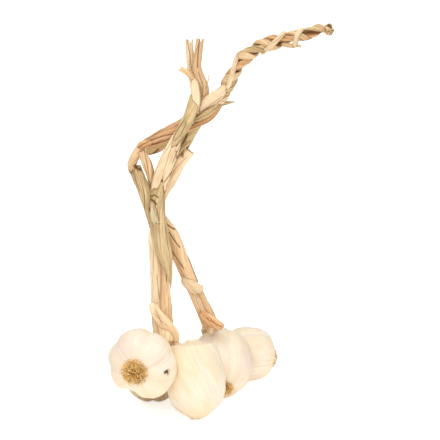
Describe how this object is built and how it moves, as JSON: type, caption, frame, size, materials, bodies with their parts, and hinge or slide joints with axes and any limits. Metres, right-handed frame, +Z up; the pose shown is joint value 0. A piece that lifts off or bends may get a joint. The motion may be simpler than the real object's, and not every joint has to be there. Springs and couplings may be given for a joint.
{
  "type": "garlic braid",
  "caption": "Garlic heads standing in a cluster, their dried stalks twisted together into a forked braid that rises and trails off in a rope.",
  "frame": {"origin": "on the floor, under the middle of the object's box", "axes": "+Z up, -Y is the front, +X to the right seen from the front; the rope of the tail runs to +X"},
  "size_m": [0.1836, 0.1447, 0.3226],
  "materials": {
    "skin": "papery white head skin, satin, faintly veined and tinged pink",
    "roots": "dry golden-brown root hairs, matt",
    "pale_stalk": "pale dried leaf sheath, satin, fibrous",
    "stalk": "dried straw-coloured leaf, matt, fibrous",
    "olive_stalk": "olive-tan dried leaf, matt, fibrous",
    "russet_stalk": "orange-brown dried leaf, matt, creased"
  },
  "bodies": {
    "root": {"head_front": "skin", "head_left": "skin", "head_right": "skin", "head_back_left": "skin", "head_far_right": "skin", "roots_left": "roots", "roots_right": "roots", "roots_far_right": "roots", "roots_back_left": "roots", "left_wrap_leaf": "pale_stalk", "left_sheath": "pale_stalk", "trunk": "olive_stalk", "left_stalk_outer": "pale_stalk", "left_stalk_inner": "stalk", "front_head_neck": "pale_stalk", "left_head_neck": "pale_stalk", "right_base_wrap": "russet_stalk", "right_mid_wrap": "pale_stalk", "right_stub": "pale_stalk", "right_upper": "stalk", "right_stalk_outer": "stalk", "right_stalk_inner": "stalk", "right_back_neck": "pale_stalk", "right_head_neck": "pale_stalk", "loop_knot": "russet_stalk", "loop_outer_low": "olive_stalk", "loop_outer_high": "stalk", "branch_left": "pale_stalk", "branch_middle": "pale_stalk", "branch_stub": "pale_stalk", "loop_inner": "stalk", "upper_olive": "olive_stalk", "band_russet": "russet_stalk", "band_under": "olive_stalk", "band_pale": "pale_stalk", "strand_tan": "olive_stalk", "strand_russet": "russet_stalk", "wedge": "olive_stalk", "spike_leaf": "olive_stalk", "stub_left": "pale_stalk", "stub_right": "stalk", "stub_twig": "stalk", "tail_strand_1": "stalk", "tail_strand_2": "stalk", "tail_strand_3": "stalk"}
  },
  "joints": []
}
